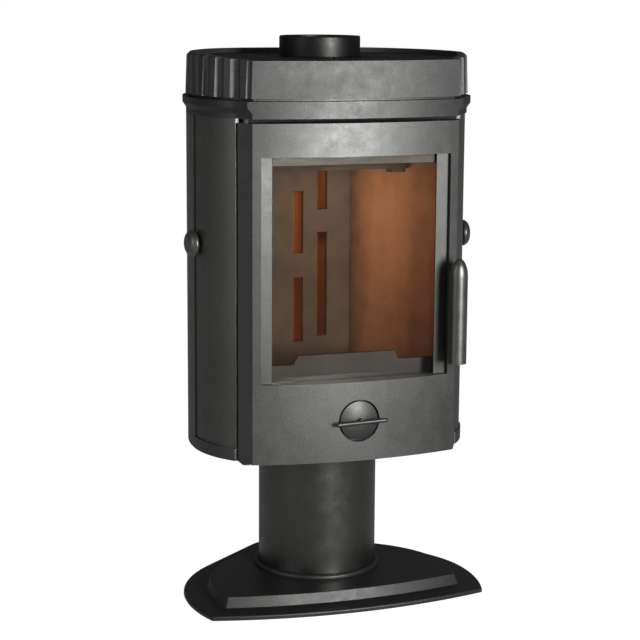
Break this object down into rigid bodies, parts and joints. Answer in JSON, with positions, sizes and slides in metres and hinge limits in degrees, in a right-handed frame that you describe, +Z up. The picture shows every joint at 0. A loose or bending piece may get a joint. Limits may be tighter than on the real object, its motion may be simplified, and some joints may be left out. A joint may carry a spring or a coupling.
{
  "type": "wood burning stove",
  "caption": "Free-standing wood stove on a round pedestal: bowed glazed door, fluted crown, top flue collar, rotary air control, side handle and side panel knobs.",
  "frame": {"origin": "on the floor under the axis of the pedestal column and of the flue collar", "axes": "+Z up; the door faces -Y; +X is on the right of someone who stands in front of the door and looks at it"},
  "size_m": [0.5652, 0.4903, 1.04],
  "materials": {
    "coated_iron": "satin heat-resistant coat, charcoal",
    "coated_steel": "satin heat-resistant coat, charcoal",
    "refractory": "rough, heat-stained; a fire-proof board in the real stove",
    "grate_iron": "raw casting",
    "bright_steel": "plain",
    "trim_steel": "satin",
    "glass": "ceramic glass, amber tint",
    "rope": "woven glass-fibre rope"
  },
  "bodies": {
    "stove": {"ash_pan": "coated_steel", "ash_pan_rails": "coated_steel", "back_plate": "refractory", "baffle_brackets": "refractory", "baffle_plate": "refractory", "base_plate": "coated_iron", "base_ring": "coated_iron", "crown": "coated_iron", "fire_grate": "grate_iron", "firebox_shell": "coated_steel", "firebox_top": "coated_steel", "floor_casting": "coated_iron", "flue_bolts": "bright_steel", "flue_collar": "coated_iron", "foot_bolts": "bright_steel", "foot_nuts": "bright_steel", "front_frame": "coated_steel", "head_bolts": "bright_steel", "hearth_plate": "refractory", "hinge_bracket": "coated_steel", "hinge_pins": "bright_steel", "log_guard": "grate_iron", "pedestal_column": "coated_steel", "rear_casing": "coated_steel", "side_liner_left": "refractory", "side_liner_right": "refractory", "side_panel_left": "coated_steel", "side_panel_right": "coated_steel", "top_flange": "coated_iron", "top_plate": "coated_iron"},
    "door": {"door_casting": "coated_iron", "door_glass": "glass", "glass_trim_left": "trim_steel", "glass_trim_right": "trim_steel", "glass_retainer_left": "bright_steel", "glass_retainer_right": "bright_steel", "airwash_plate": "coated_steel", "door_seal": "rope", "air_port_plate": "coated_steel"},
    "air_control": {"air_shutter": "coated_steel", "air_disc": "coated_iron", "air_bar": "trim_steel", "air_spindle": "bright_steel", "air_nut": "bright_steel"},
    "handle": {"handle_grip": "trim_steel", "handle_shaft": "bright_steel", "latch_cam": "grate_iron"},
    "knob_left": {"side_knob_left": "trim_steel"},
    "knob_right": {"side_knob_right": "trim_steel"}
  },
  "joints": [
    {"name": "door_swing", "type": "hinge", "parent": "stove", "child": "door", "pos_m": [-0.198, -0.188, 0.6], "axis": [0, 0, -1], "range_deg": [0, 110]},
    {"name": "air_control_turn", "type": "hinge", "parent": "door", "child": "air_control", "pos_m": [0, -0.22, 0.362], "axis": [0, -1, 0], "range_deg": [0, 60]},
    {"name": "handle_turn", "type": "hinge", "parent": "door", "child": "handle", "pos_m": [0.187, -0.2, 0.63], "axis": [0, -1, 0], "range_deg": [0, 90]},
    {"name": "knob_left_turn", "type": "hinge", "parent": "stove", "child": "knob_left", "pos_m": [-0.258, -0.0706, 0.672], "axis": [-0.9877, -0.1564, 0], "continuous": true},
    {"name": "knob_right_turn", "type": "hinge", "parent": "stove", "child": "knob_right", "pos_m": [0.258, -0.0706, 0.672], "axis": [0.9877, -0.1564, 0], "continuous": true}
  ]
}
